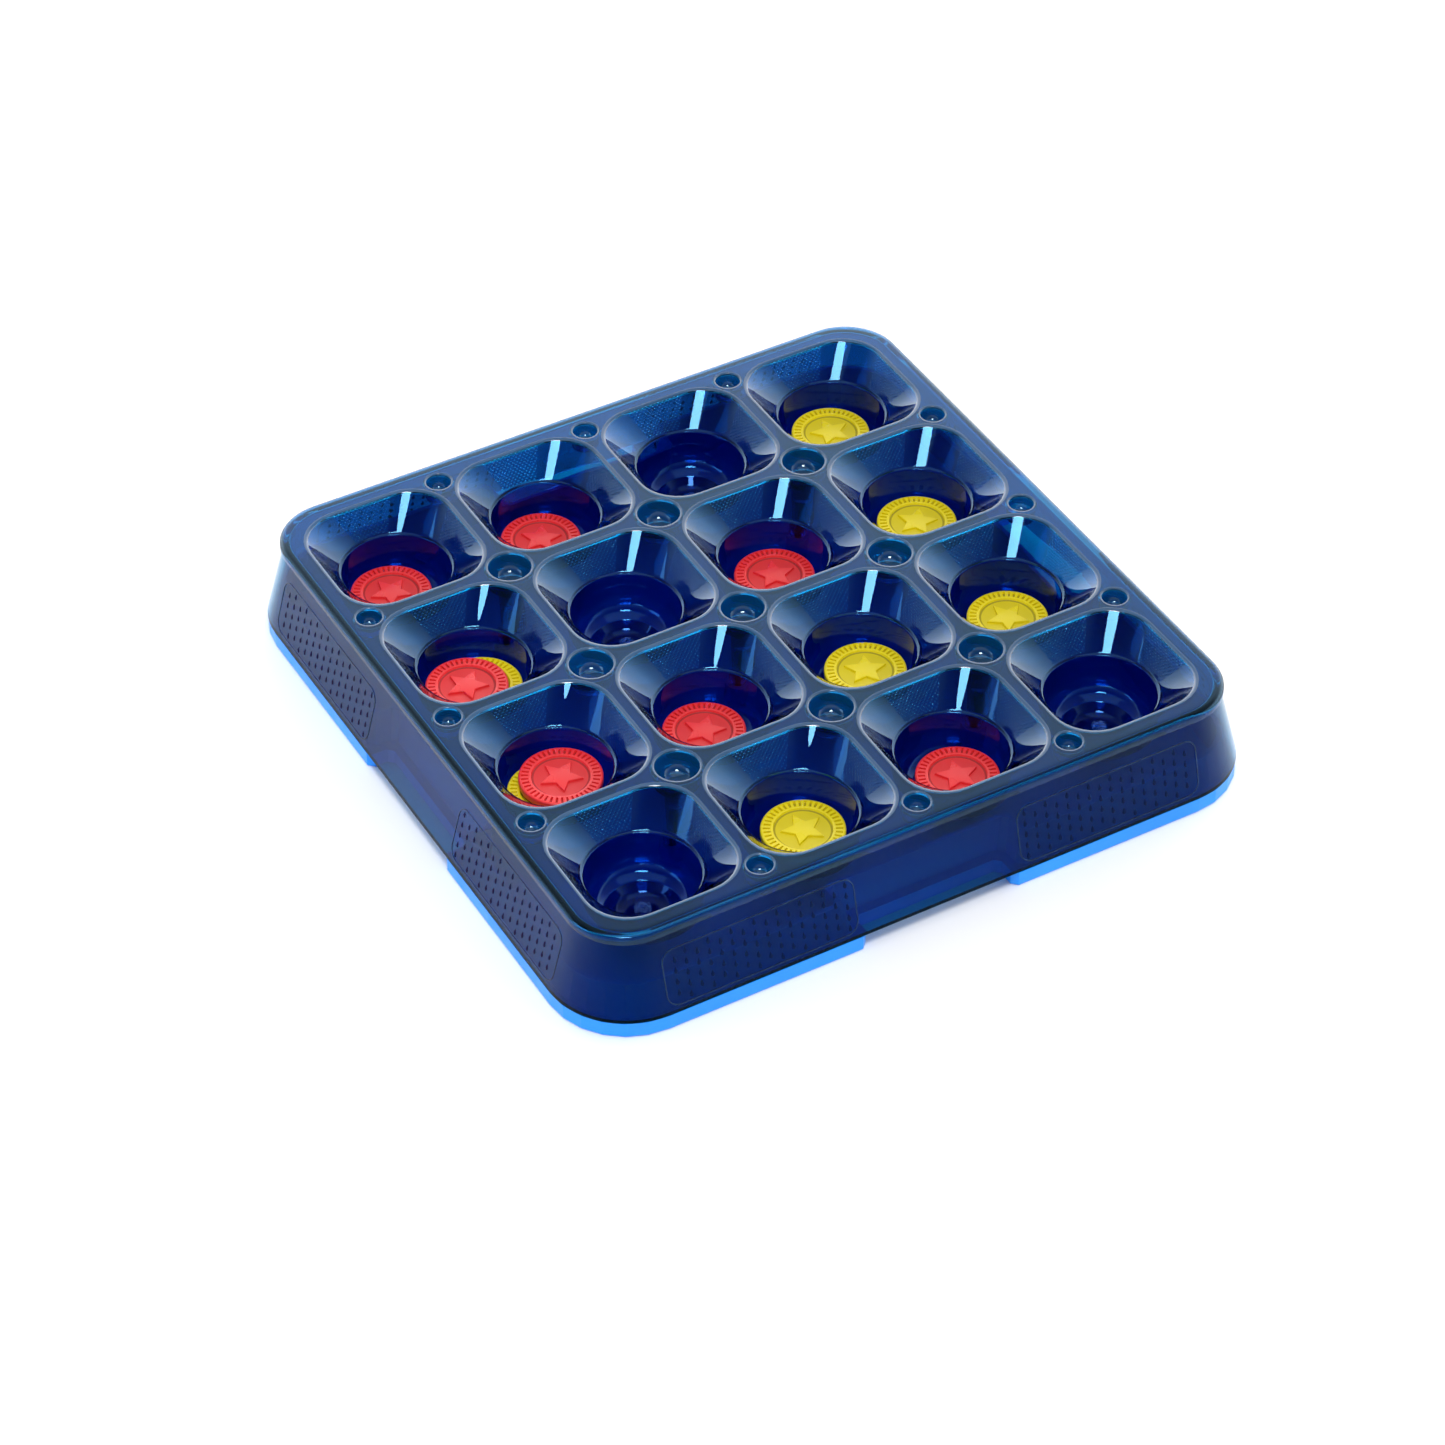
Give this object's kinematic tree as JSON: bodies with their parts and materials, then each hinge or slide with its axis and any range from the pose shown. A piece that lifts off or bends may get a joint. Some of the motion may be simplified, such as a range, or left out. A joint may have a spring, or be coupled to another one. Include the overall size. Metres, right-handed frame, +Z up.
{
  "type": "four in a row disc tray",
  "caption": "Square tray of round wells with funnel mouths on a footed base, with loose discs resting in the wells.",
  "frame": {"origin": "centre of the base's underside, on the table", "axes": "+Z up; -Y is the front of the tray and +X its right side"},
  "size_m": [0.2566, 0.2566, 0.0377],
  "materials": {
    "tray_blue": "clear dark blue, polished, with fine stippling on the funnel faces",
    "base_azure": "satin",
    "screw_steel": "plain",
    "disc_red": "satin",
    "disc_yellow": "satin"
  },
  "bodies": {
    "frame": {"tray": "tray_blue", "base": "base_azure", "screw_centre": "screw_steel", "screw_back_left": "screw_steel", "screw_back_right": "screw_steel", "screw_front_left": "screw_steel", "screw_front_right": "screw_steel"},
    "disc_01": {"disc_01": "disc_red"},
    "disc_02": {"disc_02": "disc_red"},
    "disc_03": {"disc_03": "disc_yellow"},
    "disc_04": {"disc_04": "disc_yellow"},
    "disc_05": {"disc_05": "disc_red"},
    "disc_06": {"disc_06": "disc_red"},
    "disc_07": {"disc_07": "disc_yellow"},
    "disc_08": {"disc_08": "disc_yellow"},
    "disc_09": {"disc_09": "disc_red"},
    "disc_10": {"disc_10": "disc_red"},
    "disc_11": {"disc_11": "disc_yellow"},
    "disc_12": {"disc_12": "disc_yellow"},
    "disc_13": {"disc_13": "disc_yellow"},
    "disc_14": {"disc_14": "disc_red"}
  },
  "joints": [
    {"name": "lift_disc_01", "type": "slide", "parent": "frame", "child": "disc_01", "axis": [0, 0, 1], "range_m": [0, 0.03]},
    {"name": "lift_disc_02", "type": "slide", "parent": "frame", "child": "disc_02", "axis": [0, 0, 1], "range_m": [0, 0.03]},
    {"name": "lift_disc_03", "type": "slide", "parent": "frame", "child": "disc_03", "axis": [0, 0, 1], "range_m": [0, 0.03]},
    {"name": "lift_disc_04", "type": "slide", "parent": "frame", "child": "disc_04", "axis": [0, 0, 1], "range_m": [0, 0.03]},
    {"name": "lift_disc_05", "type": "slide", "parent": "disc_04", "child": "disc_05", "axis": [0, 0, 1], "range_m": [0, 0.03]},
    {"name": "lift_disc_06", "type": "slide", "parent": "frame", "child": "disc_06", "axis": [0, 0, 1], "range_m": [0, 0.03]},
    {"name": "lift_disc_07", "type": "slide", "parent": "frame", "child": "disc_07", "axis": [0, 0, 1], "range_m": [0, 0.03]},
    {"name": "lift_disc_08", "type": "slide", "parent": "frame", "child": "disc_08", "axis": [0, 0, 1], "range_m": [0, 0.03]},
    {"name": "lift_disc_09", "type": "slide", "parent": "disc_08", "child": "disc_09", "axis": [0, 0, 1], "range_m": [0, 0.03]},
    {"name": "lift_disc_10", "type": "slide", "parent": "frame", "child": "disc_10", "axis": [0, 0, 1], "range_m": [0, 0.03]},
    {"name": "lift_disc_11", "type": "slide", "parent": "frame", "child": "disc_11", "axis": [0, 0, 1], "range_m": [0, 0.03]},
    {"name": "lift_disc_12", "type": "slide", "parent": "frame", "child": "disc_12", "axis": [0, 0, 1], "range_m": [0, 0.03]},
    {"name": "lift_disc_13", "type": "slide", "parent": "frame", "child": "disc_13", "axis": [0, 0, 1], "range_m": [0, 0.03]},
    {"name": "lift_disc_14", "type": "slide", "parent": "frame", "child": "disc_14", "axis": [0, 0, 1], "range_m": [0, 0.03]}
  ]
}
